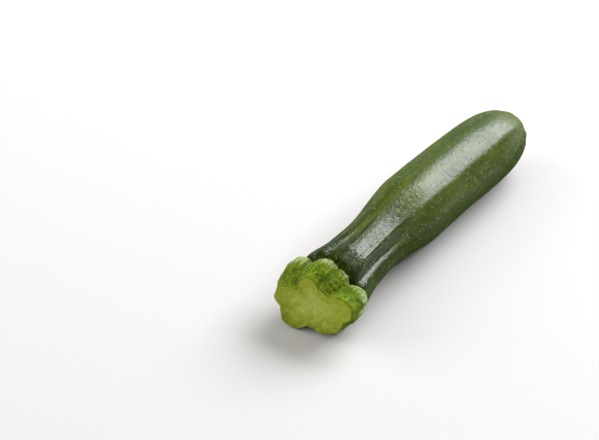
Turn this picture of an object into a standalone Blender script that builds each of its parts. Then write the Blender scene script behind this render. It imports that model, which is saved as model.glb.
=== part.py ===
"""A baby zucchini lying on its side: the fruit, and the lobed stub of stem that it was cut with.

The fruit lies along X with its stem at -X and its blossom end at +X. Z is up, and the surface that it
lies on is z = 0. The origin is under the middle of the whole object.

Both solids are lofts of rings round one gently bent axis. A place on them has three coordinates: a
station along the axis, measured from the middle of the stem's cut; a radius from the axis; and an
angle round it, where 0 degrees points to +Y, 90 degrees points up and 270 degrees points at the table.
"""

import bmesh
import bpy
import numpy as np

MM = 0.001

# Driving sizes, in millimetres.
LENGTH = 111.4
BODY_RADIUS = 12.0
NECK_RADIUS = 9.5
SCAR_RADIUS = 7.3
SCAR_RISE = 1.0
STEM_CLEARANCE = 0.35

# Stations along the axis, in millimetres from the middle of the cut.
CROWN_STATION = 7.4
SEAT_STATION = 9.2
COLLAR_STATION = 13.5
FLARE_END_STATION = 22.0
NECK_END_STATION = 32.0
FULL_STATION = 54.5
BELLY_STATION = 70.0
SHOULDER_STATION = 88.0
SCAR_STATION = LENGTH - SCAR_RISE

# The neck widens a little again towards the stem, more on one side than square to it, and its end is
# rounded into the stem's cup. The shoulder is part of a superellipse of this power.
NECK_FLARE = 1.4
NECK_OVAL = 1.0
NECK_OVAL_SIDE_DEG = 38.0
COLLAR_ROUND = 2.5
SHOULDER_POWER = 2.6

# Bevel of the fruit's seat and of the mouth of the stem's cup.
EDGE_BEVEL = 0.35

# The stem was cut at a slant: the cut leans this far out of square, towards this side.
CUT_SLANT_DEG = 8.0
CUT_SLANT_SIDE_DEG = 122.0
CUT_ROUND = 0.6

# The lobes of the stem, each with its angle in degrees, its reach from the axis in millimetres and its
# half width in degrees. The cut shows the ridges of the stalk, two of them broad and forked. The crown
# that clasps the fruit has a broad lobe for each ridge and smaller ones between.
CUT_BASE_RADIUS = 7.2
CUT_LOBES = (
    (72.0, 9.9, 27.0),
    (167.0, 12.8, 36.0),
    (210.0, 10.8, 38.0),
    (245.0, 9.5, 26.0),
    (268.0, 8.2, 24.0),
    (315.0, 13.3, 36.0),
    (356.0, 13.0, 36.0),
)
CROWN_BASE_RADIUS = 8.6
CROWN_LOBES = (
    (18.0, 14.0, 30.0),
    (82.0, 10.9, 24.0),
    (124.0, 9.0, 18.0),
    (171.0, 13.1, 25.0),
    (199.0, 12.2, 22.0),
    (240.0, 12.7, 24.0),
    (268.0, 11.0, 16.0),
    (302.0, 12.95, 22.0),
    (330.0, 12.6, 19.0),
    (357.0, 15.1, 26.0),
)
LOBE_BLEND = 5.0
SWELL_POWER = 1.25

# Where the crown ends on the neck: its station in a notch, how much further the highest lobe drapes,
# and how thick its edge is.
RIM_STATION = 9.6
RIM_DRAPE = 2.6
RIM_WALL = 0.5

# The ridges of the fruit, each with its angle in degrees, its share of the full height, the half width
# of its flat top and that of its foot in degrees. They are high on the neck, faint on the body and rise
# again a little where they run into the blossom scar. One on top is broad, with a sharper crest on it.
RIDGES = (
    (22.0, 1.0, 0.0, 30.0),
    (57.0, 0.65, 0.0, 22.0),
    (108.0, 0.85, 14.0, 38.0),
    (127.0, 1.0, 0.0, 20.0),
    (162.0, 0.75, 0.0, 12.0),
    (197.0, 0.65, 0.0, 22.0),
    (231.0, 1.0, 0.0, 30.0),
    (267.0, 0.65, 0.0, 22.0),
    (303.0, 1.0, 0.0, 30.0),
    (343.0, 0.65, 0.0, 22.0),
)
NECK_RIDGE = 1.6
BODY_RIDGE = 0.22
SCAR_RIDGE = 0.35
RIDGE_HIGH_STATION = 13.0
RIDGE_FADE_STATION = 62.0

# How far the axis bends sideways at its two ends, and how far its far end lifts, in millimetres.
STEM_BEND = 4.0
TIP_BEND = 1.4
TIP_LIFT = 0.6

# How far its own weight presses the skin flat, at the belly and at the crown's two lowest lobes.
BELLY_PRESS = 0.28
LOBE_PRESS = 0.3

# The blossom scar is a low corky dome with a dimple where the flower's style stood. Each ring has its
# share of the scar's radius and its share of the scar's rise.
SCAR_RINGS = ((0.93, 0.35), (0.7, 0.75), (0.4, 1.0), (0.16, 0.9))
DIMPLE_SHARE = 0.45

# Rings and sectors of the faceted solids.
FRUIT_SECTORS = 90
STEM_SECTORS = 90
BODY_RINGS = 38
BODY_RING_BUNCH = 0.09
CUT_ROUND_RINGS = 3
STEM_SIDE_RINGS = 8
RIM_RINGS = 5
CUP_RINGS = 4

FRUIT_COLOUR = (0.055, 0.105, 0.02, 1.0)
FRUIT_ROUGHNESS = 0.32
STEM_COLOUR = (0.26, 0.38, 0.06, 1.0)
STEM_ROUGHNESS = 0.6
SHARP_EDGE_DEG = 40.0


def smooth_step(low, high, value):
    """0 below low, 1 above high, and an S-curve between."""
    share = np.clip((value - low) / (high - low), 0.0, 1.0)
    return share * share * (3.0 - 2.0 * share)


def turn_between(angle, other):
    """The smallest turn from one angle to the other, in degrees, from -180 to 180."""
    return (angle - other + 180.0) % 360.0 - 180.0


def lobed_radius(angle, base, lobes):
    """A base circle with arched lobes standing on it. Where two lobes meet they leave a notch, which
    the blend power rounds a little."""
    rise = 0.0
    for middle, reach, half_width in lobes:
        arch = 1.0 - (turn_between(angle, middle) / half_width) ** 2
        rise = rise + np.maximum((reach - base) * arch, 0.0) ** LOBE_BLEND
    return base + rise ** (1.0 / LOBE_BLEND)


def ridges(angle):
    """The ridges' height round the axis, from 0 in a furrow to 1 on the highest crests: at each angle
    it is that of the highest of all the humps."""
    humps = []
    for middle, share, flat, foot in RIDGES:
        turn = np.abs(turn_between(angle, middle))
        humps.append(share * (1.0 - smooth_step(flat, foot, turn)))
    return np.maximum.reduce(humps)


def ridge_height(station):
    """The ridges' height along the fruit, in millimetres."""
    fade = (1.0 - smooth_step(RIDGE_HIGH_STATION, RIDGE_FADE_STATION, station)) ** 2
    neck = (NECK_RIDGE - BODY_RIDGE) * fade
    scar = (SCAR_RIDGE - BODY_RIDGE) * smooth_step(SHOULDER_STATION, SCAR_STATION, station)
    return BODY_RIDGE + neck + scar


def girth(station):
    """The fruit's radius over its crests: a round collar that sits in the stem's cup, a slim neck that
    swells to the full body, and a shoulder that stops at the blossom scar."""
    swell = NECK_RADIUS + (BODY_RADIUS - NECK_RADIUS) * smooth_step(NECK_END_STATION, FULL_STATION, station)
    flare = NECK_FLARE * (1.0 - smooth_step(SEAT_STATION, FLARE_END_STATION, station))
    inward = np.clip((COLLAR_STATION - station) / (COLLAR_STATION - SEAT_STATION), 0.0, 1.0)
    collar = COLLAR_ROUND * (1.0 - np.sqrt(1.0 - inward**2))
    scar_share = (1.0 - (SCAR_RADIUS / BODY_RADIUS) ** SHOULDER_POWER) ** (1.0 / SHOULDER_POWER)
    reach = (SCAR_STATION - SHOULDER_STATION) / scar_share
    share = np.clip((station - SHOULDER_STATION) / reach, 0.0, scar_share)
    return (swell + flare - collar) * (1.0 - share**SHOULDER_POWER) ** (1.0 / SHOULDER_POWER)


def fruit_radius(station, angle):
    """The fruit's radius at a place: its girth and the neck's oval, less what the furrows take away."""
    oval = NECK_OVAL * np.cos(np.radians(angle - NECK_OVAL_SIDE_DEG)) ** 2
    oval = oval * (1.0 - smooth_step(RIDGE_HIGH_STATION, NECK_END_STATION, station))
    return girth(station) + oval - ridge_height(station) * (1.0 - ridges(angle))


def lowest_reach(radius, angle):
    """How far a ring reaches below the axis."""
    return -np.min(radius * np.sin(np.radians(angle)))


def axis_point(station):
    """The axis: a parabola from the belly to each end. Its height lets the pressed belly and the
    crown's lowest lobes meet the table."""
    turns = np.linspace(0.0, 360.0, 720, endpoint=False)
    belly = lowest_reach(fruit_radius(BELLY_STATION, turns), turns) - BELLY_PRESS
    crown = lowest_reach(lobed_radius(turns, CROWN_BASE_RADIUS, CROWN_LOBES), turns) - LOBE_PRESS
    to_stem = np.clip((BELLY_STATION - station) / BELLY_STATION, 0.0, None) ** 2
    to_tip = np.clip((station - BELLY_STATION) / (LENGTH - BELLY_STATION), 0.0, None) ** 2
    crown_share = ((BELLY_STATION - CROWN_STATION) / BELLY_STATION) ** 2
    sideways = -STEM_BEND * to_stem - TIP_BEND * to_tip
    height = belly + (crown - belly) * to_stem / crown_share + TIP_LIFT * to_tip
    return np.stack([station, sideways, height], axis=-1)


def place(station, radius, angle):
    """Points in metres for a ring's stations, radii and angles. Sections stand square to the axis, and
    what would go below the table is pressed flat on it."""
    station, radius, angle = np.broadcast_arrays(station, radius, angle)
    step = 0.01
    along = axis_point(station + step) - axis_point(station - step)
    along /= np.linalg.norm(along, axis=-1, keepdims=True)
    side = np.cross(np.array([0.0, 0.0, 1.0]), along)
    side /= np.linalg.norm(side, axis=-1, keepdims=True)
    up = np.cross(along, side)
    turn = np.radians(angle)[..., None]
    points = axis_point(station) + radius[..., None] * (np.cos(turn) * side + np.sin(turn) * up)
    points[..., 2] = np.maximum(points[..., 2], 0.0)
    return points * MM


def cut_station(radius, angle):
    """The station of the slanted cut at a place on it."""
    slope = np.tan(np.radians(CUT_SLANT_DEG))
    return slope * radius * np.cos(np.radians(angle - CUT_SLANT_SIDE_DEG))


def stem_cut(cut, angle):
    """The cut's face and its rounded edge."""
    rings = [(cut_station(radius, angle), radius) for radius in (0.45 * cut, 0.8 * cut)]
    for turn in np.linspace(0.0, 0.5 * np.pi, CUT_ROUND_RINGS, endpoint=False):
        radius = cut - CUT_ROUND * (1.0 - np.sin(turn))
        rings.append((cut_station(radius, angle) + CUT_ROUND * (1.0 - np.cos(turn)), radius))
    return rings


def stem_side(cut, crown, angle):
    """The stem's side. It swells from the cut's outline to the crown's, at first fast and then slowly,
    which makes the lobes as round as knuckles."""
    edge = cut_station(cut, angle) + CUT_ROUND
    rings = []
    for share in np.linspace(0.0, 1.0, STEM_SIDE_RINGS):
        swell = np.sin(0.5 * np.pi * share) ** SWELL_POWER
        rings.append((edge + share * (CROWN_STATION - edge), cut + swell * (crown - cut)))
    return rings


def stem_rim(crown, lip, end, angle):
    """The crown's rounded edge, which ends in a thin lip, and the cup inside it, which follows the
    neck's round end a clearance away."""
    rings = []
    for turn in np.linspace(0.0, 0.5 * np.pi, RIM_RINGS)[1:]:
        station = CROWN_STATION + (end - CROWN_STATION) * np.sin(turn)
        rings.append((station, lip + (crown - lip) * np.cos(turn)))
    mouth = end - EDGE_BEVEL
    floor = SEAT_STATION - STEM_CLEARANCE
    for share in np.linspace(0.0, 1.0, CUP_RINGS):
        station = mouth + share * (floor - mouth)
        rings.append((station, fruit_radius(station, angle) + STEM_CLEARANCE))
    return rings


def stem_rings(angle):
    """The stem's rings from the cut's face, over its side and rim, to the floor of its cup. A high lobe
    drapes further along the neck than a notch does, and a notch is never thinner than the lip."""
    cut = lobed_radius(angle, CUT_BASE_RADIUS, CUT_LOBES)
    lobed = lobed_radius(angle, CROWN_BASE_RADIUS, CROWN_LOBES)
    lobe_share = (lobed - CROWN_BASE_RADIUS) / (np.max(lobed) - CROWN_BASE_RADIUS)
    end = RIM_STATION + RIM_DRAPE * lobe_share
    lip = fruit_radius(end, angle) + STEM_CLEARANCE + RIM_WALL
    crown = np.maximum(lobed, lip)
    return stem_cut(cut, angle) + stem_side(cut, crown, angle) + stem_rim(crown, lip, end, angle)


def fruit_rings(angle):
    """The fruit's rings from its seat in the stem, along neck and body, to the blossom scar. They
    stand closer together towards the shoulder, which curves most."""
    top = fruit_radius(SEAT_STATION, angle)
    rings = [(SEAT_STATION, 0.6 * top), (SEAT_STATION, top - EDGE_BEVEL)]
    first = SEAT_STATION + EDGE_BEVEL
    shares = np.linspace(0.0, 1.0, BODY_RINGS)
    bunched = shares + BODY_RING_BUNCH * np.sin(2.0 * np.pi * shares) * shares
    for station in first + (SCAR_STATION - first) * bunched:
        rings.append((station, fruit_radius(station, angle)))
    rim = fruit_radius(SCAR_STATION, angle)
    for radius_share, rise_share in SCAR_RINGS:
        rings.append((SCAR_STATION + rise_share * SCAR_RISE, radius_share * rim))
    return rings


def loft(name, rings, angle, middles, material):
    """Extrudes a disc from ring to ring and pokes the discs at its two ends, whose middles stand at
    the two stations that middles gives."""
    form = bmesh.new()
    bmesh.ops.create_circle(form, cap_ends=True, segments=len(angle), radius=MM)
    first = last = form.faces[:][0]
    for number, (station, radius) in enumerate(rings):
        if number:
            grown = bmesh.ops.extrude_face_region(form, geom=[last])["geom"]
            if last is not first:
                form.faces.remove(last)
            last = [item for item in grown if isinstance(item, bmesh.types.BMFace)][0]
        for vertex, point in zip(last.verts, place(station, radius, angle)):
            vertex.co = point
    for face, station in zip((first, last), middles):
        poked = bmesh.ops.poke(form, faces=[face])["verts"][0]
        poked.co = place(np.array([station]), np.array([0.0]), np.array([0.0]))[0]
    bmesh.ops.recalc_face_normals(form, faces=form.faces)
    mesh = bpy.data.meshes.new(name)
    form.to_mesh(mesh)
    form.free()
    mesh.shade_smooth()
    mesh.set_sharp_from_angle(angle=np.radians(SHARP_EDGE_DEG))
    mesh.materials.append(material)
    solid = bpy.data.objects.new(name, mesh)
    bpy.context.scene.collection.objects.link(solid)
    return solid


def make_material(name, colour, roughness):
    material = bpy.data.materials.new(name)
    material.use_nodes = True
    shader = material.node_tree.nodes["Principled BSDF"]
    shader.inputs["Base Color"].default_value = colour
    shader.inputs["Roughness"].default_value = roughness
    return material


def make_fruit():
    angle = np.linspace(0.0, 360.0, FRUIT_SECTORS, endpoint=False)
    middles = (SEAT_STATION, SCAR_STATION + DIMPLE_SHARE * SCAR_RISE)
    skin = make_material("skin", FRUIT_COLOUR, FRUIT_ROUGHNESS)
    return loft("fruit", fruit_rings(angle), angle, middles, skin)


def make_stem():
    angle = np.linspace(0.0, 360.0, STEM_SECTORS, endpoint=False)
    middles = (0.0, SEAT_STATION - STEM_CLEARANCE)
    stalk = make_material("stalk", STEM_COLOUR, STEM_ROUGHNESS)
    return loft("stem", stem_rings(angle), angle, middles, stalk)


def centre_on_origin(solids):
    """Slides the solids along X and Y until the origin is under the middle of the whole."""
    points = np.concatenate([[vertex.co[:] for vertex in solid.data.vertices] for solid in solids])
    middle = (points.min(axis=0) + points.max(axis=0)) / 2.0
    for solid in solids:
        solid.location = (-middle[0], -middle[1], 0.0)


for old in list(bpy.data.objects):
    bpy.data.objects.remove(old)
centre_on_origin([make_fruit(), make_stem()])
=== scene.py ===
"""Looks for the baby zucchini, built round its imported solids: the grown skin with its scar, the cut stem,
the fuzz on the stem, and a plain stage.

The fruit lies along X with its stem at -X, and the surface it lies on is z = 0. A place on it has three
coordinates, in millimetres and degrees: a station along the bent axis, measured from the middle of the
stem's cut; a radius from the axis; and an angle round it, where 0 points to +Y, 90 up and 270 down.
"""

import bpy
import numpy as np
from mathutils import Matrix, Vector


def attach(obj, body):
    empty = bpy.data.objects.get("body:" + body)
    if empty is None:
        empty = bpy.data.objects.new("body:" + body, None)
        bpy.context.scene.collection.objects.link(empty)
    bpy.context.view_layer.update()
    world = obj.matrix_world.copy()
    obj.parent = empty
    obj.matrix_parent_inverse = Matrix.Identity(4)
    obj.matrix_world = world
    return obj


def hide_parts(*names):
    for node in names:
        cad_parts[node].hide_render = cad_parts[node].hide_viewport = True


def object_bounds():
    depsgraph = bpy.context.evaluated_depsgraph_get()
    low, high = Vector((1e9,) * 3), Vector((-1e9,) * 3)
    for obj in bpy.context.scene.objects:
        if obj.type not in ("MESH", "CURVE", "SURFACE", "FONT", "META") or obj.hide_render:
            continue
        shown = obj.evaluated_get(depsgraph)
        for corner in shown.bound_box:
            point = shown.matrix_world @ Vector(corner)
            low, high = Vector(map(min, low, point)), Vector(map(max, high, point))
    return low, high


bl_info = {
    "name": "Baby zucchini",
    "version": (1, 0, 0),
    "blender": (4, 5, 0),
    "location": "3D View > Sidebar > Zucchini",
    "description": "Makes the skin, stem and fuzz of a baby zucchini round its packed solids",
    "category": "Object",
}

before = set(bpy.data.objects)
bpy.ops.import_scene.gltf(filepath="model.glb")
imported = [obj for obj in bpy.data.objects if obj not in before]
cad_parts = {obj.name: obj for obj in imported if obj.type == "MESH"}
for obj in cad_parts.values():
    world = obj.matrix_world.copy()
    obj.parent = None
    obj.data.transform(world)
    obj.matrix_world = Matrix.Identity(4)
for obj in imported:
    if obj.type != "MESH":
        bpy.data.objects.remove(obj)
CAD_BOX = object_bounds()
CAD_LOW, CAD_HIGH = np.array(CAD_BOX[0]), np.array(CAD_BOX[1])
MM = 0.001

# The solids' own sizes, in millimetres, which the surfaces repeat.
LENGTH = 111.4
BODY_RADIUS = 12.0
NECK_RADIUS = 9.5
SCAR_RADIUS = 7.3
SCAR_RISE = 1.0
CROWN_STATION = 7.4
SEAT_STATION = 9.2
COLLAR_STATION = 13.5
FLARE_END_STATION = 22.0
NECK_END_STATION = 32.0
FULL_STATION = 54.5
BELLY_STATION = 70.0
SHOULDER_STATION = 88.0
SCAR_STATION = LENGTH - SCAR_RISE
NECK_FLARE = 1.4
NECK_OVAL = 1.0
NECK_OVAL_SIDE_DEG = 38.0
COLLAR_ROUND = 2.5
SHOULDER_POWER = 2.6
CUT_SLANT_DEG = 8.0
CUT_SLANT_SIDE_DEG = 122.0
CUT_ROUND = 0.6
CUT_BASE_RADIUS = 7.2
CROWN_BASE_RADIUS = 8.6
LOBE_BLEND = 5.0
SWELL_POWER = 1.25
RIM_STATION = 9.6
RIM_DRAPE = 2.6
NECK_RIDGE = 1.6
BODY_RIDGE = 0.22
SCAR_RIDGE = 0.35
RIDGE_HIGH_STATION = 13.0
RIDGE_FADE_STATION = 62.0
STEM_BEND = 4.0
TIP_BEND = 1.4
TIP_LIFT = 0.6
BELLY_PRESS = 0.28
LOBE_PRESS = 0.3

# The lobes of the stem's cut and crown: angle in degrees, reach in millimetres, half width in degrees.
CUT_LOBES = (
    (72.0, 9.9, 27.0),
    (167.0, 12.8, 36.0),
    (210.0, 10.8, 38.0),
    (245.0, 9.5, 26.0),
    (268.0, 8.2, 24.0),
    (315.0, 13.3, 36.0),
    (356.0, 13.0, 36.0),
)
CROWN_LOBES = (
    (18.0, 14.0, 30.0),
    (82.0, 10.9, 24.0),
    (124.0, 9.0, 18.0),
    (171.0, 13.1, 25.0),
    (199.0, 12.2, 22.0),
    (240.0, 12.7, 24.0),
    (268.0, 11.0, 16.0),
    (302.0, 12.95, 22.0),
    (330.0, 12.6, 19.0),
    (357.0, 15.1, 26.0),
)

# The ridges of the fruit: angle in degrees, share of the full height, and the half widths of the flat
# top and of the foot in degrees.
RIDGES = (
    (22.0, 1.0, 0.0, 30.0),
    (57.0, 0.65, 0.0, 22.0),
    (108.0, 0.85, 14.0, 38.0),
    (127.0, 1.0, 0.0, 20.0),
    (162.0, 0.75, 0.0, 12.0),
    (197.0, 0.65, 0.0, 22.0),
    (231.0, 1.0, 0.0, 30.0),
    (267.0, 0.65, 0.0, 22.0),
    (303.0, 1.0, 0.0, 30.0),
    (343.0, 0.65, 0.0, 22.0),
)

# Relief that is too fine for the solids: where the neck's ribs fade and what share of them is left on the
# body, where the creases round the scar begin, the depths in millimetres, and the places and widths on the
# scar as shares of its radius.
RIB_FADE_STATIONS = (16.0, 46.0)
BODY_RIB_SHARE = 0.15
CREASE_STATION = 104.0
CORK_DEPTH = 0.07
CORK_GRAIN_DEPTH = 0.03
DIMPLE_DEPTH = 0.55
DIMPLE_SHARE = 0.11
GROOVE_DEPTH = 0.12
GROOVE_SHARE = 0.965
GROOVE_WIDTH_SHARE = 0.02
CUT_WAVE_DEPTH = 0.13
CUT_INSET = 0.1
CUT_HOLLOW = 0.35
CUT_UNEVEN_DEPTH = 0.05
CUT_FIBRE_DEPTH = 0.01

# How far the crown's lip lies under the fruit's skin, and the rings that lead on from it out of sight:
# how far back along the axis and how far inwards they lie.
LIP_DEPTH = 0.3
HIDDEN_BACK = ((0.8,), (1.6,))
HIDDEN_INWARD = ((0.3,), (3.0,))

# The strength of the gloss on waxy skin, on the collar, and on the side that lay on the soil.
WAX_GLOSS = 0.5
COLLAR_GLOSS = 0.06
SOIL_GLOSS = 0.12

# How far the collar's dull skin reaches from the stem, how far and on which side it reaches furthest, and
# the half widths in degrees between which it falls back from there.
COLLAR_DULL_STATION = 11.5
COLLAR_DULL_FURTHEST = 17.5
COLLAR_DULL_SIDE_DEG = 108.0
COLLAR_DULL_HALF_DEG = (16.0, 44.0)

# Where the side that lay on the soil begins and ends.
SOIL_START_DEG = 163.0
SOIL_END_DEG = 325.0

# The hairs: the seed of their random numbers, how many places are tried for each, how unevenly they lean,
# how far they droop, how much thinner the tip is than the foot, the shares of the length at which their
# rings of corners stand, the first just under the skin, and the corners of a ring.
HAIR_SEED = 31
HAIR_TRIES = 4
HAIR_UNEVEN = 0.45
HAIR_DROOP = 0.25
HAIR_TAPER = 0.8
HAIR_SHARES = (-0.1, 0.35, 0.7, 1.0)
HAIR_CORNERS = 3

# The stage in metres: half the floor's width; the soft box's height over the fruit, its place along it,
# its length, its width and its shift to the left; the same for the dimmer strip at its left; and the
# distance and the size of the two small lights, with the directions in which they stand.
FLOOR_HALF = 6.0
BOX_HEIGHT = 0.8
BOX_ALONG = 1.23
BOX_LENGTH = 1.54
BOX_WIDTH = 0.96
BOX_SHIFT = -0.06
STRIP_WIDTH = 0.3
STRIP_SHIFT = 0.57
BOX_FACING = (0.0, -0.208, 0.978)
BOX_LEFTWARD = (0.0, 0.978, 0.208)
SMALL_DISTANCE = 1.2
SMALL_SIZE = (0.9, 0.7)
FRONT_DIRECTION = (-0.72, 0.25, 0.65)
LEFT_DIRECTION = (-0.45, 0.75, 0.48)

# Where the axis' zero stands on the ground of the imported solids.
AXIS_START = np.array([-54.4867, 2.2347, 0.0])

# Where the photograph was taken from, in millimetres from the axis' zero, the direction from the middle
# of its view back to the camera, and the width of the camera's sensor in millimetres.
CAMERA_PLACE = (-192.75, -157.58, 242.5)
CAMERA_BACK = (-0.6002, -0.4937, 0.6293)
SENSOR_WIDTH = 36.0

# How finely the surfaces are divided, how much closer the fruit's rings stand on the body than at the far
# end, and the numbers of the material slots.
FRUIT_SECTORS = 250
FRUIT_RINGS = 340
SCAR_RINGS = 40
STEM_SECTORS = 420
CUT_RINGS = 60
SIDE_RINGS = 70
RIM_RINGS = 40
BEVEL_RINGS = 4
RING_CROWDING = 0.09
SKIN_SLOT, SCAR_SLOT, COLLAR_SLOT, SOIL_SLOT = range(4)
CUT_SLOT, RIND_SLOT = range(2)


def smooth_step(low, high, value):
    """0 below low, 1 above high, and an S-curve between."""
    share = np.clip((value - low) / (high - low), 0.0, 1.0)
    return share * share * (3.0 - 2.0 * share)


def turn_between(angle, other):
    """The smallest turn from one angle to the other, in degrees, from -180 to 180."""
    return (angle - other + 180.0) % 360.0 - 180.0


def waves(points, size, seed, count=48):
    """Smooth unevenness of about -1 to 1: the sum of cosine waves in random directions, whose lengths
    are near the given size, divided by the square root of half their number. Each seed gives a pattern."""
    rng = np.random.default_rng(seed)
    directions = rng.normal(size=(count, 3))
    directions /= np.linalg.norm(directions, axis=1, keepdims=True)
    turns = 2.0 * np.pi / (size * rng.uniform(0.7, 1.4, count))
    total = np.zeros(points.shape[:-1])
    for direction, turn, phase in zip(directions, turns, rng.uniform(0.0, 2.0 * np.pi, count)):
        total += np.cos(points @ direction * turn + phase)
    return total / np.sqrt(0.5 * count)


def straightened(station, radius, angle):
    """The place with the axis made straight: the station, then radius times cosine and sine."""
    turn = np.radians(angle)
    return np.stack(np.broadcast_arrays(station, radius * np.cos(turn), radius * np.sin(turn)), axis=-1)


def lobed_radius(angle, base, lobes):
    """A base circle with arched lobes on it: the base plus the power mean of all the arches, and each
    arch is its height times one less the squared share of its half width."""
    rise = 0.0
    for middle, reach, half_width in lobes:
        arch = 1.0 - (turn_between(angle, middle) / half_width) ** 2
        rise = rise + np.maximum((reach - base) * arch, 0.0) ** LOBE_BLEND
    return base + rise ** (1.0 / LOBE_BLEND)


def ridges(angle):
    """The ridges round the axis, from 0 in a furrow to 1 on the highest crests: the highest of all
    the humps, each its share of the height times an S-curve that falls from its flat top to its foot."""
    humps = []
    for middle, share, flat, foot in RIDGES:
        humps.append(share * (1.0 - smooth_step(flat, foot, np.abs(turn_between(angle, middle)))))
    return np.maximum.reduce(humps)


def ridge_height(station):
    """The ridges' height: high on the neck, faint on the body, and a little higher at the scar."""
    fade = (1.0 - smooth_step(RIDGE_HIGH_STATION, RIDGE_FADE_STATION, station)) ** 2
    neck = (NECK_RIDGE - BODY_RIDGE) * fade
    scar = (SCAR_RIDGE - BODY_RIDGE) * smooth_step(SHOULDER_STATION, SCAR_STATION, station)
    return BODY_RIDGE + neck + scar


def girth(station):
    """The radius over the crests: neck, swelling, a flare and a round collar at the stem, times a
    superellipse at the shoulder."""
    swell = NECK_RADIUS + (BODY_RADIUS - NECK_RADIUS) * smooth_step(NECK_END_STATION, FULL_STATION, station)
    flare = NECK_FLARE * (1.0 - smooth_step(SEAT_STATION, FLARE_END_STATION, station))
    inward = np.clip((COLLAR_STATION - station) / (COLLAR_STATION - SEAT_STATION), 0.0, 1.0)
    collar = COLLAR_ROUND * (1.0 - np.sqrt(1.0 - inward**2))
    scar_share = (1.0 - (SCAR_RADIUS / BODY_RADIUS) ** SHOULDER_POWER) ** (1.0 / SHOULDER_POWER)
    reach = (SCAR_STATION - SHOULDER_STATION) / scar_share
    share = np.clip((station - SHOULDER_STATION) / reach, 0.0, scar_share)
    return (swell + flare - collar) * (1.0 - share**SHOULDER_POWER) ** (1.0 / SHOULDER_POWER)


def fruit_radius(station, angle):
    """The girth, plus an oval that fades along the neck, less what the furrows take away."""
    oval = NECK_OVAL * np.cos(np.radians(angle - NECK_OVAL_SIDE_DEG)) ** 2
    oval = oval * (1.0 - smooth_step(RIDGE_HIGH_STATION, NECK_END_STATION, station))
    return girth(station) + oval - ridge_height(station) * (1.0 - ridges(angle))


def lowest_reach(radius, angle):
    """How far a ring reaches below the axis."""
    return -np.min(radius * np.sin(np.radians(angle)))


def axis_point(station):
    """The bent axis: a parabola from the belly to each end, sideways and in height, at a height where
    the pressed belly and the crown's lowest lobes meet the ground."""
    turns = np.linspace(0.0, 360.0, 720, endpoint=False)
    belly = lowest_reach(fruit_radius(BELLY_STATION, turns), turns) - BELLY_PRESS
    crown = lowest_reach(lobed_radius(turns, CROWN_BASE_RADIUS, CROWN_LOBES), turns) - LOBE_PRESS
    to_stem = np.clip((BELLY_STATION - station) / BELLY_STATION, 0.0, None) ** 2
    to_tip = np.clip((station - BELLY_STATION) / (LENGTH - BELLY_STATION), 0.0, None) ** 2
    crown_share = ((BELLY_STATION - CROWN_STATION) / BELLY_STATION) ** 2
    sideways = -STEM_BEND * to_stem - TIP_BEND * to_tip
    height = belly + (crown - belly) * to_stem / crown_share + TIP_LIFT * to_tip
    return np.stack([station, sideways, height], axis=-1)


def place(station, radius, angle):
    """Points in metres: the axis point, plus the radius times the turned pair of directions that stand
    square to the axis. What would go out of the solids' box, such as below the ground, is pressed in."""
    station, radius, angle = np.broadcast_arrays(station, radius, angle)
    step = 0.01
    along = axis_point(station + step) - axis_point(station - step)
    along /= np.linalg.norm(along, axis=-1, keepdims=True)
    side = np.cross(np.array([0.0, 0.0, 1.0]), along)
    side /= np.linalg.norm(side, axis=-1, keepdims=True)
    up = np.cross(along, side)
    turn = np.radians(angle)[..., None]
    points = axis_point(station) + radius[..., None] * (np.cos(turn) * side + np.sin(turn) * up)
    points = (points + AXIS_START) * MM
    return np.clip(points, CAD_LOW, CAD_HIGH)


def fruit_form(settings):
    """The fruit's rings, as stations, radii and angles on a grid, and each ring's share of the scar.
    The radius is that of the solid, plus lengthwise ribs that fade along the neck, broad lumps, small
    dents and creases round the scar. The scar's rings rise to a corky dome with a dimple."""
    angle = np.linspace(0.0, 360.0, FRUIT_SECTORS, endpoint=False)[None, :]
    share = np.linspace(0.0, 1.0, FRUIT_RINGS)
    share = share + RING_CROWDING * np.sin(2.0 * np.pi * share) * share
    skin = (SEAT_STATION + (SCAR_STATION - SEAT_STATION) * share)[:, None]
    radius = fruit_radius(skin, angle)
    flat = straightened(skin, radius, angle)
    neck = 1.0 - smooth_step(*RIB_FADE_STATIONS, skin)
    creased = smooth_step(CREASE_STATION, SCAR_STATION, skin)
    rib_depth = settings.rib_depth / MM
    lump_depth = settings.lump_depth / MM
    dent_depth = settings.dent_depth / MM
    radius = radius + rib_depth * (BODY_RIB_SHARE + neck) * waves(flat * (0.07, 1.0, 1.0), 2.6, seed=11)
    radius = radius + rib_depth * creased * waves(flat * (0.12, 1.0, 1.0), 1.9, seed=12)
    radius = radius + lump_depth * waves(flat * (0.6, 1.0, 1.0), 9.0, seed=13)
    radius = radius + dent_depth * waves(flat, 1.7, seed=14)
    rim_share = np.linspace(1.0, 0.0, SCAR_RINGS + 2)[1:-1, None]
    dome = (1.0 - rim_share**5) ** 0.8 - DIMPLE_DEPTH * np.exp(-((rim_share / DIMPLE_SHARE) ** 2))
    scar_radius = rim_share * radius[-1:]
    flat = straightened(0.0, scar_radius, angle)
    cork = CORK_DEPTH * waves(flat, 2.4, seed=15) + CORK_GRAIN_DEPTH * waves(flat, 0.9, seed=16)
    groove = GROOVE_DEPTH * np.exp(-(((rim_share - GROOVE_SHARE) / GROOVE_WIDTH_SHARE) ** 2))
    scar = SCAR_STATION + SCAR_RISE * dome + cork * (1.0 - rim_share**8) - groove
    stations = np.concatenate([skin + 0.0 * angle, scar])
    radii = np.concatenate([radius, scar_radius])
    shares = np.concatenate([np.full(FRUIT_RINGS, 1.0), rim_share[:, 0]])
    return stations, radii, angle, shares


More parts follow.
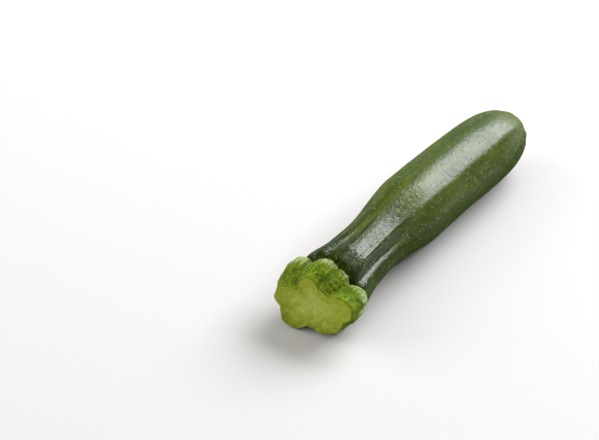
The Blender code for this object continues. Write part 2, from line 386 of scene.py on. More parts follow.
def waxless(flat, angle):
    """Whether a place is on the dull collar that the stem's crown shaded: its station, changed by an
    uneven millimetre or two, is below a line that stands further out on the broad ridge."""
    turn = np.abs(turn_between(angle, COLLAR_DULL_SIDE_DEG))
    on_ridge = 1.0 - smooth_step(*COLLAR_DULL_HALF_DEG, turn)
    line = COLLAR_DULL_STATION + (COLLAR_DULL_FURTHEST - COLLAR_DULL_STATION) * on_ridge
    uneven = 0.6 * waves(flat, 2.8, seed=17) + 1.1 * waves(flat, 0.9, seed=18)
    return flat[..., 0] + uneven < line


def soil_side(flat, angle):
    """Whether a place is on the less waxy side that lay on the soil: its angle, changed by a few uneven
    degrees, is between the two at which that side begins and ends."""
    uneven = angle + 4.0 * waves(flat, 3.5, seed=19) + 6.0 * waves(flat, 0.9, seed=20)
    return (uneven > SOIL_START_DEG) & (uneven < SOIL_END_DEG)


def ray_place(radius, angle):
    """A place among the fibres' rays: it turns with the angle and moves slowly with the radius."""
    turn = np.radians(angle)
    return np.stack(np.broadcast_arrays(5.0 * np.cos(turn), 5.0 * np.sin(turn), 0.25 * radius), axis=-1)


def stem_form(settings):
    """The stem's rings, as stations, radii and angles on a grid, with two more numbers for each place:
    its share of the way, 0 at the cut's middle, 1 at its edge and 2 at the crown, and how much it is the
    tip of a lobe. The rings run from the cut's middle over its hollowed face and round its edge, along
    the side, where the radius swells from the cut's outline to the crown's by a power of a sine, over the
    crown's rounded rim, and under the fruit's skin. Waves of three sizes wrinkle the side and the rim."""
    angle = np.linspace(0.0, 360.0, STEM_SECTORS, endpoint=False)[None, :]
    cut = lobed_radius(angle, CUT_BASE_RADIUS, CUT_LOBES)
    cut = cut + CUT_WAVE_DEPTH * waves(straightened(0.0, cut, angle), 3.0, seed=26) - CUT_INSET
    lobed = lobed_radius(angle, CROWN_BASE_RADIUS, CROWN_LOBES)
    lobe = (lobed - CROWN_BASE_RADIUS) / (np.max(lobed) - CROWN_BASE_RADIUS)
    end = RIM_STATION + RIM_DRAPE * lobe
    lip = fruit_radius(end, angle) - LIP_DEPTH
    crown = np.maximum(lobed, lip + 0.1)
    slope = np.tan(np.radians(CUT_SLANT_DEG)) * np.cos(np.radians(angle - CUT_SLANT_SIDE_DEG))

    share = np.linspace(0.0, 1.0, CUT_RINGS + 1)[1:, None]
    face_radius = share * (cut - CUT_ROUND)
    uneven = CUT_FIBRE_DEPTH * waves(ray_place(face_radius, angle), 1.1, seed=21)
    uneven = uneven + CUT_UNEVEN_DEPTH * waves(straightened(0.0, face_radius, angle), 2.5, seed=22)
    hollow = CUT_HOLLOW * (1.0 - share**4)
    face = slope * face_radius + hollow + uneven * smooth_step(0.0, 0.2, share)

    turn = np.linspace(0.0, 0.5 * np.pi, BEVEL_RINGS + 2)[1:-1, None]
    bevel_radius = cut - CUT_ROUND * (1.0 - np.sin(turn))
    bevel = slope * bevel_radius + CUT_ROUND * (1.0 - np.cos(turn))

    share_side = np.linspace(0.0, 1.0, SIDE_RINGS)[:, None]
    edge = slope * cut + CUT_ROUND
    side = edge + share_side * (CROWN_STATION - edge)
    side_radius = cut + np.sin(0.5 * np.pi * share_side) ** SWELL_POWER * (crown - cut)

    turn = np.linspace(0.0, 0.5 * np.pi, RIM_RINGS)[1:, None]
    rim = CROWN_STATION + (end - CROWN_STATION) * np.sin(turn)
    rim_radius = lip + (crown - lip) * np.cos(turn)
    hidden = end - np.array(HIDDEN_BACK)
    hidden_radius = lip - np.array(HIDDEN_INWARD)

    stations = np.concatenate([face, bevel, side, rim, hidden])
    radii = np.concatenate([face_radius, bevel_radius, side_radius, rim_radius, hidden_radius])
    side_share = 1.0 + share_side + 0.0 * cut
    rim_share = np.full((len(rim) + len(hidden), STEM_SECTORS), 2.0)
    shares = np.concatenate([face_radius / cut, bevel_radius / cut, side_share, rim_share])
    rough = smooth_step(-0.4, 1.2, stations - slope * radii)
    rough[:CUT_RINGS] = 0.0
    flat = straightened(stations, radii, angle)
    wrinkle = settings.wrinkle_depth / MM
    radii = radii + rough * wrinkle * (waves(flat * (0.35, 1.0, 1.0), 2.6, seed=23) - 0.3)
    radii = radii + 0.8 * rough * wrinkle * waves(flat, 4.2, seed=24)
    radii = radii + 0.5 * rough * wrinkle * waves(flat, 1.3, seed=25)
    # How much a place is a lobe's tip: where the whitish colour goes, partly pale fuzz and partly a painted
    # highlight.
    tips = (0.5 + 0.5 * lobe) * smooth_step(7.2 - 3.4 * lobe, 9.3 - 2.4 * lobe, stations)
    return stations, radii, angle, shares, tips


def add_object(name, data):
    """Puts a new object into the scene, at the origin and unturned."""
    item = bpy.data.objects.new(name, data)
    bpy.context.scene.collection.objects.link(item)
    return item


def closed_surface(name, points, poles, materials, face_slots, attributes):
    """A closed mesh from a grid of points: rings that are joined to the next by quads, and a fan of
    triangles at each pole. Each quad has the number of its material, and each attribute has a value for
    each grid point and one for each pole."""
    rings, sectors = points.shape[:2]
    ring, sector = np.meshgrid(np.arange(rings - 1), np.arange(sectors), indexing="ij")
    beside = (sector + 1) % sectors
    corners = [ring * sectors + sector, ring * sectors + beside]
    corners += [(ring + 1) * sectors + beside, (ring + 1) * sectors + sector]
    quads = np.stack(corners, axis=-1).reshape(-1, 4)
    row = np.arange(sectors)
    after = (row + 1) % sectors
    first = np.full(sectors, rings * sectors)
    start_fan = np.stack([first, after, row], axis=-1)
    last_row = (rings - 1) * sectors
    end_fan = np.stack([first + 1, last_row + row, last_row + after], axis=-1)
    mesh = bpy.data.meshes.new(name)
    vertices = np.concatenate([points.reshape(-1, 3), poles])
    mesh.from_pydata(vertices, [], start_fan.tolist() + quads.tolist() + end_fan.tolist())
    for material in materials:
        mesh.materials.append(material)
    slots = np.concatenate([face_slots[:1], face_slots, face_slots[-1:]])
    mesh.polygons.foreach_set("material_index", slots.astype(np.int32).ravel())
    for label, (values, ends) in attributes.items():
        width = np.shape(ends[0])
        kind, field = ("FLOAT_VECTOR", "vector") if width else ("FLOAT", "value")
        flat = np.concatenate([np.reshape(values, (-1,) + width), np.array(ends)])
        layer = mesh.attributes.new(label, kind, "POINT")
        layer.data.foreach_set(field, flat.astype(np.float32).ravel())
    mesh.shade_smooth()
    mesh.update()
    return add_object(name, mesh)


class Finish:
    """One procedural material: it adds nodes, fills their inputs, and ends in a principled surface."""

    def __init__(self, name):
        self.material = bpy.data.materials.new(name)
        self.material.use_nodes = True
        self.tree = self.material.node_tree
        self.surface = self.tree.nodes["Principled BSDF"]

    def add(self, kind, inputs, output=0, **settings):
        """Adds a node, sets its properties, fills its inputs with values or with other nodes' outputs,
        and returns one of its outputs."""
        node = self.tree.nodes.new("ShaderNode" + kind)
        for label, value in settings.items():
            setattr(node, label, value)
        self.fill(node, inputs)
        return node.outputs[output]

    def fill(self, node, inputs):
        """Links an input to the output that is given for it, or sets it to the value."""
        for socket, value in inputs.items():
            if isinstance(value, bpy.types.NodeSocket):
                self.tree.links.new(value, node.inputs[socket])
            else:
                node.inputs[socket].default_value = value

    def attribute(self, label, output="Vector"):
        """What the mesh stores at each point under a name."""
        return self.add("Attribute", {}, output, attribute_name=label)

    def stretched(self, vector, scales):
        """A place with each coordinate times its own scale, so a small scale draws a pattern out."""
        return self.add("VectorMath", {0: vector, 1: scales}, operation="MULTIPLY")

    def noise(self, vector, scale, detail=2.0, roughness=0.5, distortion=0.0):
        """Cloudy noise, from 0 to 1 with its middle near 0.5."""
        inputs = {"Vector": vector, "Scale": scale, "Detail": detail}
        inputs.update({"Roughness": roughness, "Distortion": distortion})
        return self.add("TexNoise", inputs)

    def cells(self, vector, scale, output):
        """The nearest of many scattered points: how far it is, or its random colour."""
        return self.add("TexVoronoi", {"Vector": vector, "Scale": scale}, output)

    def ramp(self, value, low, high, start=0.0, end=1.0):
        """An S-curve from start, where the value is low, to end, where it is high."""
        inputs = {"Value": value, "From Min": low, "From Max": high, "To Min": start, "To Max": end}
        return self.add("MapRange", inputs, interpolation_type="SMOOTHSTEP")

    def sum(self, first, second):
        return self.add("Math", {0: first, 1: second}, operation="ADD")

    def less(self, first, second):
        return self.add("Math", {0: first, 1: second}, operation="SUBTRACT")

    def product(self, first, second):
        return self.add("Math", {0: first, 1: second}, operation="MULTIPLY")

    def blend(self, factor, first, second):
        """The first colour where the factor is 0 and the second where it is 1. The mix node's colours are
        its inputs 6 and 7 and its output 2."""
        return self.add("Mix", {0: factor, 6: first, 7: second}, 2, data_type="RGBA")

    def bump(self, height, distance, under=None):
        """A normal tilted by the height times a distance in metres, over another bump if one is given."""
        inputs = {"Height": height, "Distance": distance, "Strength": 1.0}
        if under is not None:
            inputs["Normal"] = under
        return self.add("Bump", inputs)


def colour(group, label):
    """A setting's colour with full cover."""
    return (*getattr(group, label), 1.0)


def specks(finish, place_on, stretch, channel, sizes, edge):
    """How much of a place lies in a round speck, of which each cell of the stretched place has one: a
    size, taken from a channel of the cell's random colour, less the distance from the cell's point."""
    cell_place = finish.stretched(place_on, stretch)
    kind = finish.add("SeparateXYZ", {0: finish.cells(cell_place, 1.0, "Color")}, channel)
    away = finish.cells(cell_place, 1.0, "Distance")
    return finish.ramp(finish.less(finish.ramp(kind, *sizes), away), *edge)


def reach_along(finish, place_on, direction):
    """How far a place lies from the axis in a direction: the dot product of the two."""
    return finish.add("VectorMath", {0: place_on, 1: direction}, "Value", operation="DOT_PRODUCT")


def skin_green(finish, settings, place_on, station, streaks, mottle):
    """The skin's colour: clouds and lengthwise streaks, a dark neck with lighter ribs, painted shade that
    deepens the green below and towards -Y, a lighter far end, and pale dots of two sizes, fainter on the
    neck."""
    clouds = finish.noise(finish.stretched(place_on, (0.05, 0.2, 0.2)), 1.0, 4.0, 0.6)
    green = finish.blend(finish.ramp(clouds, 0.35, 0.65), colour(settings, "body"), colour(settings, "deep_and_shade"))
    green = finish.blend(finish.ramp(streaks, 0.5, 0.72, 0.0, 0.45), green, colour(settings, "light"))
    wander = finish.sum(station, finish.ramp(streaks, 0.3, 0.7, -9.0, 9.0))
    green = finish.blend(finish.ramp(wander, 15.0, 46.0, 0.92, 0.0), green, colour(settings, "neck"))
    neck_rib = finish.product(finish.ramp(streaks, 0.52, 0.68), finish.ramp(station, 44.0, 18.0, 0.0, 0.55))
    green = finish.blend(neck_rib, green, colour(settings, "light"))
    green = finish.blend(finish.ramp(mottle, 0.35, 0.75, 0.0, 0.35), green, colour(settings, "deep_and_shade"))
    # Painted shade: the green deepens on the side below and towards -Y, where less light falls.
    below = reach_along(finish, place_on, (0.0, -0.6, -0.8))
    green = finish.blend(finish.ramp(below, -2.0, 9.0, 0.0, 0.9), green, colour(settings, "deep_and_shade"))
    wander = finish.sum(station, finish.ramp(streaks, 0.3, 0.7, -3.0, 3.0))
    green = finish.blend(finish.ramp(wander, 105.0, 113.0, 0.0, 0.6), green, colour(settings, "light"))
    seen = finish.ramp(station, 16.0, 50.0, 0.7, 1.0)
    dots = specks(finish, place_on, (0.78, 0.92, 0.92), "X", (0.1, 1.0, 0.06, 0.33), (-0.08, 0.08))
    green = finish.blend(finish.product(dots, finish.product(seen, 0.75)), green, colour(settings, "dot"))
    fine = specks(finish, place_on, (1.0, 1.3, 1.3), "Y", (0.45, 1.0, 0.0, 0.25), (-0.05, 0.08))
    return finish.blend(finish.product(fine, finish.product(seen, 0.5)), green, colour(settings, "dot"))


def skin_relief(finish, settings, place_on, station, streaks):
    """The skin's fine relief: a grain that is stronger near the stem, and small pits."""
    collar = finish.sum(station, finish.ramp(streaks, 0.3, 0.7, -2.0, 2.0))
    grain = finish.noise(place_on, 2.1, 2.0, 0.5)
    grain = finish.product(grain, finish.ramp(collar, 23.5, 17.5, 1.0, 1.8))
    relief = finish.bump(grain, settings.grain_depth)
    pits = specks(finish, place_on, (1.0, 1.1, 1.1), "Z", (0.2, 1.0, 0.0, 0.42), (0.25, -0.05))
    return finish.bump(pits, 0.5 * settings.grain_depth, relief)


def skin_dullness(finish, place_on, station, mottle):
    """The skin's roughness: uneven all over, more where it turns edge on and on one rubbed ridge of the
    neck, and less on the rest of the neck."""
    edge_on = finish.add("LayerWeight", {"Blend": 0.5}, "Facing")
    dull = finish.sum(finish.ramp(mottle, 0.3, 0.7, 0.17, 0.32), finish.ramp(edge_on, 0.35, 0.8, 0.0, 0.6))
    crest = reach_along(finish, place_on, (0.0, -0.951, 0.309))
    rubbed = finish.product(finish.ramp(station, 17.0, 23.0), finish.ramp(station, 48.0, 36.0))
    rubbed = finish.product(rubbed, finish.ramp(crest, 8.4, 9.3, 0.0, 0.3))
    return finish.less(finish.sum(dull, rubbed), finish.ramp(station, 42.0, 33.0, 0.0, 0.08))


def skin_finish(settings, name, gloss):
    """Green skin under wax, whose gloss has the given strength."""
    finish = Finish(name)
    place_on = finish.attribute("straight")
    station = finish.add("SeparateXYZ", {0: place_on}, "X")
    streaks = finish.noise(finish.stretched(place_on, (0.045, 0.8, 0.8)), 1.0, 4.0, 0.6)
    mottle = finish.noise(place_on, 0.9, 3.0, 0.65)
    inputs = {"Base Color": skin_green(finish, settings, place_on, station, streaks, mottle)}
    inputs["Normal"] = skin_relief(finish, settings, place_on, station, streaks)
    inputs["Roughness"] = skin_dullness(finish, place_on, station, mottle)
    inputs.update({"IOR": 1.4, "Specular IOR Level": gloss})
    finish.fill(finish.surface, inputs)
    return finish.material


def scar_finish(settings):
    """Cork where the flower stood: tan, grainy, scratched with brown, and greenish at its rim."""
    finish = Finish("blossom_scar")
    place_on = finish.attribute("straight")
    share = finish.attribute("share", "Fac")
    grain = finish.noise(place_on, 1.1, 5.0, 0.65)
    tan = finish.blend(finish.ramp(grain, 0.3, 0.7), colour(settings, "cork"), colour(settings, "cork_pale"))
    lines = finish.noise(finish.stretched(place_on, (1.0, 1.6, 0.35)), 1.0, 3.0, 0.6, 1.2)
    near = finish.add("Math", {0: finish.less(lines, 0.5)}, operation="ABSOLUTE")
    scratch = finish.product(finish.ramp(near, 0.035, 0.0), finish.ramp(grain, 0.4, 0.6))
    tan = finish.blend(finish.product(scratch, 0.7), tan, colour(settings, "scratch"))
    tan = finish.blend(finish.ramp(share, 0.2, 0.06, 0.0, 0.85), tan, colour(settings, "scratch"))
    wander = finish.sum(share, finish.ramp(grain, 0.3, 0.7, -0.05, 0.05))
    tan = finish.blend(finish.ramp(wander, 0.88, 0.99, 0.0, 0.9), tan, colour(settings, "light"))
    relief = finish.bump(finish.noise(place_on, 2.6, 4.0, 0.7), 0.00012)
    relief = finish.bump(lines, 0.00015, relief)
    inputs = {"Base Color": tan, "Normal": relief, "Roughness": finish.ramp(grain, 0.2, 0.8, 0.6, 0.85)}
    finish.fill(finish.surface, inputs)
    return finish.material


def stalk_finish(settings):
    """The stem's rind: yellow-green with dark blotches between its ribs, whitish lobe tips that are partly
    pale fuzz and partly a painted highlight, and a paler edge at the cut."""
    finish = Finish("stem_rind")
    place_on = finish.attribute("straight")
    tips = finish.attribute("tips", "Fac")
    share = finish.attribute("share", "Fac")
    blotch = finish.noise(finish.stretched(place_on, (0.3, 0.7, 0.7)), 1.0, 3.0, 0.55)
    ribs = finish.noise(finish.stretched(place_on, (0.25, 1.0, 1.0)), 1.0, 3.0, 0.55)
    speck = finish.noise(place_on, 2.0, 3.0, 0.6)
    green = finish.blend(finish.ramp(blotch, 0.4, 0.58), colour(settings, "green"), colour(settings, "dark"))
    green = finish.blend(finish.ramp(ribs, 0.5, 0.62, 0.0, 0.85), green, colour(settings, "pale"))
    wander = finish.sum(share, finish.ramp(speck, 0.35, 0.65, -0.12, 0.12))
    green = finish.blend(finish.ramp(wander, 1.12, 1.0, 0.0, 0.5), green, colour(settings, "pale"))
    # The whitish lobe tips are partly pale fuzz and partly a painted highlight on the crests.
    uneven_tips = finish.sum(tips, finish.ramp(ribs, 0.3, 0.7, -0.3, 0.3))
    tip_fuzz_and_highlight = finish.product(finish.ramp(uneven_tips, 0.25, 0.95), finish.ramp(speck, 0.3, 0.62, 0.45, 1.0))
    green = finish.blend(tip_fuzz_and_highlight, green, colour(settings, "tip"))
    green = finish.blend(finish.ramp(speck, 0.56, 0.7, 0.0, 0.45), green, colour(settings, "tip"))
    relief = finish.bump(ribs, 0.00006)
    relief = finish.bump(speck, 0.00004, relief)
    inputs = {"Base Color": green, "Normal": relief, "Roughness": finish.ramp(speck, 0.3, 0.7, 0.55, 0.75)}
    inputs.update({"IOR": 1.22, "Specular IOR Level": 0.25})
    inputs.update({"Subsurface Weight": 0.15, "Subsurface Radius": (0.0012, 0.0014, 0.0004)})
    inputs["Subsurface Scale"] = 1.0
    finish.fill(finish.surface, inputs)
    return finish.material


def cut_finish(settings):
    """The wet cut: pale in the middle, with faint rays of fibre, flecks, painted olive shade along its
    lower edge, and a thin rim of the rind's colour."""
    finish = Finish("stem_cut")
    place_on = finish.attribute("straight")
    share = finish.attribute("share", "Fac")
    rays = finish.noise(finish.attribute("rays"), 1.6, 3.0, 0.6)
    grain = finish.noise(finish.stretched(place_on, (0.0, 1.0, 1.0)), 0.45, 4.0, 0.6)
    wander = finish.sum(share, finish.ramp(grain, 0.3, 0.7, -0.18, 0.18))
    outer = finish.ramp(wander, 0.15, 0.85)
    flesh = finish.blend(outer, colour(settings, "cut_middle"), colour(settings, "cut"))
    flesh = finish.blend(finish.ramp(rays, 0.5, 0.75, 0.0, 0.15), flesh, colour(settings, "cut_fibre"))
    fleck = finish.noise(finish.stretched(place_on, (0.0, 1.0, 1.0)), 1.5, 3.0, 0.6)
    flesh = finish.blend(finish.ramp(fleck, 0.45, 0.7, 0.0, 0.55), flesh, colour(settings, "cut_fibre"))
    flesh = finish.blend(finish.ramp(fleck, 0.48, 0.3, 0.0, 0.5), flesh, colour(settings, "cut_middle"))
    # Painted shade: the cut's lower edge turns olive, unevenly, where its face curves away.
    low = finish.ramp(finish.add("SeparateXYZ", {0: place_on}, "Z"), 0.0, -7.0)
    low_shade = finish.product(finish.ramp(wander, 0.6, 1.0, 0.0, 0.8), low)
    low_shade = finish.product(low_shade, finish.ramp(fleck, 0.3, 0.6, 0.5, 1.0))
    flesh = finish.blend(low_shade, flesh, colour(settings, "cut_low_shade"))
    flesh = finish.blend(finish.ramp(share, 0.95, 1.0, 0.0, 0.5), flesh, colour(settings, "pale"))
    relief = finish.bump(rays, 0.00003)
    relief = finish.bump(finish.noise(place_on, 2.4, 3.0, 0.6), 0.00008, relief)
    inputs = {"Base Color": flesh, "Normal": relief, "Roughness": finish.ramp(grain, 0.3, 0.7, 0.42, 0.6)}
    inputs["IOR"] = 1.3
    inputs.update({"Subsurface Weight": 0.2, "Subsurface Radius": (0.0015, 0.0015, 0.0005)})
    inputs["Subsurface Scale"] = 1.0
    finish.fill(finish.surface, inputs)
    return finish.material


def hair_finish(settings):
    """Pale plant hair, in two tones."""
    finish = Finish("fuzz")
    shade = finish.noise(finish.add("TexCoord", {}, "Object"), 900.0)
    pale = finish.blend(finish.ramp(shade, 0.3, 0.7), colour(settings, "hair"), colour(settings, "hair_tip"))
    finish.fill(finish.surface, {"Base Color": pale, "Roughness": 0.55})
    return finish.material


def floor_finish(settings):
    """Matt pale board with the faintest clouding."""
    finish = Finish("pale_floor")
    shade = finish.noise(finish.add("TexCoord", {}, "Object"), 3.0, 3.0)
    low = [0.985 * part for part in settings.floor]
    pale = finish.blend(shade, (*low, 1.0), colour(settings, "floor"))
    finish.fill(finish.surface, {"Base Color": pale, "Roughness": 0.9, "Specular IOR Level": 0.1})
    return finish.material


def tint(name, default, description):
    """A colour that a user may change."""
    return bpy.props.FloatVectorProperty(
        name=name, description=description, default=default, subtype="COLOR", size=3, min=0.0, max=1.0
    )


def depth(name, default, description):
    """A small length that a user may change."""
    return bpy.props.FloatProperty(
        name=name, description=description, default=default, unit="LENGTH", min=0.0, precision=6
    )


def power(name, default, description):
    """A light's power that a user may change."""
    return bpy.props.FloatProperty(
        name=name, description=description, default=default, subtype="POWER", min=0.0
    )


class FruitSettings(bpy.types.PropertyGroup):
    """Colours and relief of the skin and the scar"""

    body: tint("Body", (0.065, 0.09, 0.001), "Green of the body")
    # Deep green of the darker clouds and mottle, also used as the painted shade on the side below.
    deep_and_shade: tint("Deep green", (0.026, 0.047, 0.001), "Green of the darker clouds")
    light: tint("Light green", (0.068, 0.097, 0.008), "Green of the lengthwise streaks")
    neck: tint("Neck", (0.006, 0.0115, 0.0005), "Green of the neck")
    dot: tint("Dots", (0.13, 0.18, 0.04), "Pale dots on the skin")
    cork: tint("Scar", (0.34, 0.27, 0.075), "Darker cork of the blossom scar")
    cork_pale: tint("Pale scar", (0.46, 0.39, 0.15), "Paler cork of the blossom scar")
    scratch: tint("Scratches", (0.25, 0.115, 0.022), "Brown scratches on the scar")
    rib_depth: depth("Ribs", 0.00006, "Height of the lengthwise ribs on the neck")
    lump_depth: depth("Lumps", 0.00005, "Height of the broad lumps")
    dent_depth: depth("Dents", 0.00001, "Depth of the small dents")
    grain_depth: depth("Grain", 0.00008, "Depth of the skin's grain")


class StemSettings(bpy.types.PropertyGroup):
    """Colours and relief of the rind and the cut"""

    green: tint("Green", (0.092, 0.145, 0.0008), "Rind of the stem")
    dark: tint("Blotches", (0.06, 0.105, 0.0004), "Dark blotches between the ribs")
    pale: tint("Ribs", (0.155, 0.205, 0.005), "Pale ribs and specks")
    # Whitish lobe tips: partly pale fuzz and partly a painted highlight; the same colour gives the whitish
    # specks.
    tip: tint("Lobe tips", (0.275, 0.325, 0.135), "Whitish tips of the lobes")
    cut: tint("Cut", (0.26, 0.31, 0.013), "Outer part of the cut")
    cut_middle: tint("Middle of the cut", (0.38, 0.415, 0.075), "Pale middle of the cut")
    cut_fibre: tint("Fibres", (0.22, 0.285, 0.008), "Darker fibres in the cut")
    # Olive painted shade along the cut's lower edge.
    cut_low_shade: tint("Dried edge", (0.14, 0.165, 0.004), "Olive lower edge of the cut")
    wrinkle_depth: depth("Wrinkles", 0.0001, "Depth of the rind's wrinkles")


class HairSettings(bpy.types.PropertyGroup):
    """Colours, number and size of the hairs"""

    hair: tint("Hair", (0.4, 0.5, 0.14), "Foot of the hairs")
    hair_tip: tint("Hair ends", (0.6, 0.66, 0.38), "Ends of the hairs")
    count: bpy.props.IntProperty(name="Hairs", description="Number of hairs on the stem", default=900, min=1)
    length: depth("Length", 0.0006, "Length of a long hair")
    thickness: depth("Thickness", 0.00006, "Thickness of a hair at its foot")


class StageSettings(bpy.types.PropertyGroup):
    """Floor, lights and lens"""

    floor: tint("Floor", (0.575, 0.555, 0.54), "Pale floor")
    sky: tint("Surroundings", (0.95, 0.95, 0.97), "Light from all round")
    key: tint("Soft box", (0.93, 0.965, 1.0), "Light of the large soft light")
    sky_strength: bpy.props.FloatProperty(
        name="Surroundings strength",
        description="Strength of the light from all round",
        default=0.33,
        min=0.0,
    )
    key_power: power("Soft box power", 52.5, "Power of the large soft light")
    edge_power: power("Strip power", 6.4, "Power of the dimmer strip beside the soft box")
    fill_power: power("Fill power", 3.6, "Power of the small light in front")
    side_power: power("Side power", 7.5, "Power of the small light at the left")
    lens: bpy.props.FloatProperty(
        name="Lens", description="Focal length of the camera", default=70.68, min=1.0, unit="CAMERA"
    )


class ZUCCHINI_OT_fruit(bpy.types.Operator):
    """Make the fruit's skin, from the collar in the stem to the corky scar where the flower stood"""

    bl_idname = "zucchini.fruit"
    bl_label = "Fruit"

    def execute(self, context):
        settings = context.scene.zucchini_fruit
        station, radius, angle, share = fruit_form(settings)
        points = place(station, radius, angle)
        ends = np.array([SEAT_STATION, SCAR_STATION + (1.0 - DIMPLE_DEPTH) * SCAR_RISE])
        poles = place(ends, np.zeros(2), np.zeros(2))
        flat = straightened(station, radius, angle)
        pole_flat = straightened(ends, np.zeros(2), np.zeros(2))
        share = np.broadcast_to(share[:, None], station.shape)
        slots = np.where(soil_side(flat, angle), SOIL_SLOT, SKIN_SLOT)
        slots = np.where(waxless(flat, angle), COLLAR_SLOT, slots)[:-1]
        slots[FRUIT_RINGS - 1 :] = SCAR_SLOT
        layers = {"straight": (flat, pole_flat), "share": (share, [1.0, 0.0])}
        materials = [skin_finish(settings, "fruit_skin", WAX_GLOSS), scar_finish(settings)]
        materials.append(skin_finish(settings, "fruit_collar", COLLAR_GLOSS))
        materials.append(skin_finish(settings, "fruit_soil_side", SOIL_GLOSS))
        piece = closed_surface("skin", points, poles, materials, slots, layers)
        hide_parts("fruit")
        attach(piece, "root")
        return {"FINISHED"}


class ZUCCHINI_OT_stem(bpy.types.Operator):
    """Make the lobed stub of stem with its slanted cut"""

    bl_idname = "zucchini.stem"
    bl_label = "Stem"

    def execute(self, context):
        settings = context.scene.zucchini_stem
        station, radius, angle, share, tips = stem_form(settings)
        points = place(station, radius, angle)
        ends = np.array([CUT_HOLLOW, SEAT_STATION + 1.0])
        poles = place(ends, np.zeros(2), np.zeros(2))
        flat = straightened(station, radius, angle)
        pole_flat = straightened(ends, np.zeros(2), np.zeros(2))
        slots = np.full((len(station) - 1, STEM_SECTORS), RIND_SLOT)
        slots[:CUT_RINGS] = CUT_SLOT
        layers = {"straight": (flat, pole_flat), "share": (share, [0.0, 1.0])}
        layers["tips"] = (tips, [0.0, 0.0])
        layers["rays"] = (ray_place(radius, angle), np.zeros((2, 3)))
        materials = [cut_finish(settings), stalk_finish(settings)]
        piece = closed_surface("stalk", points, poles, materials, slots, layers)
        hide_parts("stem")
        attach(piece, "root")
        return {"FINISHED"}


class ZUCCHINI_OT_fuzz(bpy.types.Operator):
    """Make the short hairs that stand on the stem's rind"""

    bl_idname = "zucchini.fuzz"
    bl_label = "Fuzz"

    def execute(self, context):
        settings = context.scene.zucchini_hair
        rng = np.random.default_rng(HAIR_SEED)
        foot, lean, length = hair_roots(context.scene.zucchini_stem, settings, rng)
        piece = hair_piece(foot, lean, length, settings, rng)
        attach(piece, "root")
        return {"FINISHED"}


def hair_roots(stem_settings, settings, rng):
    """Where the hairs stand on the rind, which way they lean and how long they are: places drawn from
    the stem's grid, with its normals made uneven, kept where the whole hair is inside the solids' box."""
    station, radius, angle, _, _ = stem_form(stem_settings)
    points = place(station, radius, angle)
    round_way = np.roll(points, -1, axis=1) - np.roll(points, 1, axis=1)
    normals = np.cross(round_way, np.gradient(points, axis=0))
    normals /= np.linalg.norm(normals, axis=-1, keepdims=True) + 1e-12
    tries = HAIR_TRIES * settings.count
    ring = rng.integers(CUT_RINGS + 2, CUT_RINGS + SIDE_RINGS + RIM_RINGS - 8, tries)
    sector = rng.integers(0, STEM_SECTORS, tries)
    foot, lean = points[ring, sector], normals[ring, sector]
    lean = lean + HAIR_UNEVEN * rng.normal(size=lean.shape)
    lean /= np.linalg.norm(lean, axis=1, keepdims=True)
    length = settings.length * rng.uniform(0.35, 1.0, len(foot))
    tips = foot + lean * length[:, None]
    low, high = CAD_LOW + settings.thickness, CAD_HIGH - settings.thickness
    inside = np.all((tips > low) & (tips < high) & (foot > low) & (foot < high), axis=1)
    return (part[inside][: settings.count] for part in (foot, lean, length))


def hair_piece(foot, lean, length, settings, rng):
    """Hairs as three-sided tapering tubes: at each of a few shares of the length, three corners stand
    round the middle line, which leans off the skin and droops by the square of the share."""
    across = np.cross(lean, rng.normal(size=lean.shape))
    across /= np.linalg.norm(across, axis=1, keepdims=True)
    other = np.cross(lean, across)
    share = np.array(HAIR_SHARES)
    droop = HAIR_DROOP * share**2
    bent = share[:, None] * lean[:, None] + droop[:, None] * across[:, None]
    middle = foot[:, None] + bent * length[:, None, None]
    turn = np.radians(np.linspace(0.0, 360.0, HAIR_CORNERS, endpoint=False))
    corner = np.cos(turn)[:, None] * across[:, None] + np.sin(turn)[:, None] * other[:, None]
    taper = 0.5 * settings.thickness * (1.0 - HAIR_TAPER * np.clip(share, 0.0, 1.0))
    points = middle[:, :, None] + taper[None, :, None, None] * corner[:, None]
    points = np.clip(points, CAD_LOW, CAD_HIGH)
    last = len(HAIR_SHARES) - 1
    ring, side = np.meshgrid(np.arange(last), np.arange(HAIR_CORNERS), indexing="ij")
    here, after = ring * HAIR_CORNERS + side, ring * HAIR_CORNERS + (side + 1) % HAIR_CORNERS
    quads = np.stack([here, after, after + HAIR_CORNERS, here + HAIR_CORNERS], axis=-1)
    start = (last + 1) * HAIR_CORNERS * np.arange(len(foot))[:, None, None]
    quads = (quads.reshape(1, -1, 4) + start).reshape(-1, 4)
    tip = last * HAIR_CORNERS
    ends = (np.array([[0, 2, 1], [tip, tip + 1, tip + 2]]) + start).reshape(-1, 3)
    mesh = bpy.data.meshes.new("fuzz")
    mesh.from_pydata(points.reshape(-1, 3), [], quads.tolist() + ends.tolist())
    mesh.materials.append(hair_finish(settings))
    mesh.shade_smooth()
    mesh.update()
    return add_object("fuzz", mesh)


class ZUCCHINI_OT_stage(bpy.types.Operator):
    """Set the pale floor, the soft lights and the camera at the photograph's viewing angle"""

    bl_idname = "zucchini.stage"
    bl_label = "Stage"

    def execute(self, context):
        settings = context.scene.zucchini_stage
        lay_floor(settings)
        set_surroundings(settings)
        set_lights(settings)
        set_camera(settings)
        context.scene.view_settings.view_transform = "Standard"
        return {"FINISHED"}


def lay_floor(settings):
    """A square floor at z = 0, far wider than the fruit."""
    corners = np.array([[-1.0, -1.0, 0.0], [1.0, -1.0, 0.0], [1.0, 1.0, 0.0], [-1.0, 1.0, 0.0]])
    mesh = bpy.data.meshes.new("floor")
    mesh.from_pydata(FLOOR_HALF * corners, [], [(0, 1, 2, 3)])
    mesh.materials.append(floor_finish(settings))
    floor = add_object("floor", mesh)


def set_surroundings(settings):
    """Even light from all round."""
    world = bpy.data.worlds.new("surroundings")
    world.use_nodes = True
    sky = world.node_tree.nodes["Background"]
    sky.inputs["Color"].default_value = colour(settings, "sky")
    sky.inputs["Strength"].default_value = settings.sky_strength
    bpy.context.scene.world = world


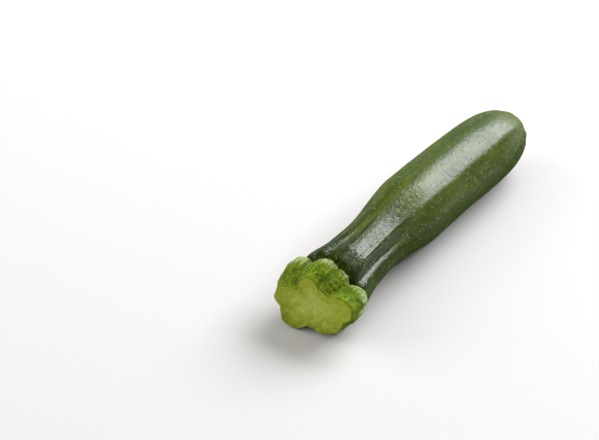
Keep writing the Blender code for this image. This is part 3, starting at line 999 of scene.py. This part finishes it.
def set_lights(settings):
    """A large soft box over the fruit with a dimmer strip at its left, a light in front and one at the
    left."""
    facing, leftward = Vector(BOX_FACING), Vector(BOX_LEFTWARD)
    middle = BOX_HEIGHT * facing + Vector((BOX_ALONG, 0.0, 0.0))
    box_place = middle + BOX_SHIFT * leftward
    key = soft_box("key", box_place, facing, (BOX_LENGTH, BOX_WIDTH), settings.key_power)
    strip_place = middle + STRIP_SHIFT * leftward
    edge = soft_box("key_edge", strip_place, facing, (BOX_LENGTH, STRIP_WIDTH), settings.edge_power)
    key.data.color = edge.data.color = settings.key
    front, left = Vector(FRONT_DIRECTION), Vector(LEFT_DIRECTION)
    soft_box("fill", SMALL_DISTANCE * front, front, SMALL_SIZE, settings.fill_power)
    soft_box("side", SMALL_DISTANCE * left, left, SMALL_SIZE, settings.side_power)


def set_camera(settings):
    """The camera at the photograph's viewing angle."""
    camera = add_object("camera", bpy.data.cameras.new("camera"))
    camera.data.lens = settings.lens
    camera.data.sensor_width = SENSOR_WIDTH
    camera.location = (AXIS_START + np.array(CAMERA_PLACE)) * MM
    camera.rotation_mode = "QUATERNION"
    camera.rotation_quaternion = Vector(CAMERA_BACK).to_track_quat("Z", "Y")
    bpy.context.scene.camera = camera


def soft_box(name, place_at, facing, size, watts):
    """A rectangular light at a place, with its back to the facing direction."""
    light = bpy.data.lights.new(name, "AREA")
    light.shape = "RECTANGLE"
    light.size, light.size_y = size
    light.energy = watts
    lamp = add_object(name, light)
    lamp.location = place_at
    lamp.rotation_mode = "QUATERNION"
    lamp.rotation_quaternion = facing.to_track_quat("Z", "Y")
    return lamp


class ZUCCHINI_PT_looks(bpy.types.Panel):
    """Lists the pieces and their settings"""

    bl_label = "Baby zucchini"
    bl_idname = "ZUCCHINI_PT_looks"
    bl_space_type = "VIEW_3D"
    bl_region_type = "UI"
    bl_category = "Zucchini"

    def draw(self, context):
        for operator, group in zip(OPERATORS, GROUPS):
            part = self.layout.box()
            part.operator(operator.bl_idname)
            for label in group.__annotations__:
                part.prop(getattr(context.scene, GROUPS[group]), label)


OPERATORS = (ZUCCHINI_OT_fruit, ZUCCHINI_OT_stem, ZUCCHINI_OT_fuzz, ZUCCHINI_OT_stage)
GROUPS = {
    FruitSettings: "zucchini_fruit",
    StemSettings: "zucchini_stem",
    HairSettings: "zucchini_hair",
    StageSettings: "zucchini_stage",
}


def register():
    """Registers the settings, the operators and the panel, and ties the settings to the scene."""
    for group, label in GROUPS.items():
        bpy.utils.register_class(group)
        setattr(bpy.types.Scene, label, bpy.props.PointerProperty(type=group))
    for kind in (*OPERATORS, ZUCCHINI_PT_looks):
        bpy.utils.register_class(kind)


def unregister():
    """Takes back what register did, in the reverse order."""
    for kind in (ZUCCHINI_PT_looks, *reversed(OPERATORS)):
        bpy.utils.unregister_class(kind)
    for group, label in GROUPS.items():
        delattr(bpy.types.Scene, label)
        bpy.utils.unregister_class(group)


def main():
    """Makes the stage and every piece."""
    register()
    bpy.ops.zucchini.stage()
    bpy.ops.zucchini.fruit()
    bpy.ops.zucchini.stem()
    bpy.ops.zucchini.fuzz()


if __name__ == "__main__":
    main()
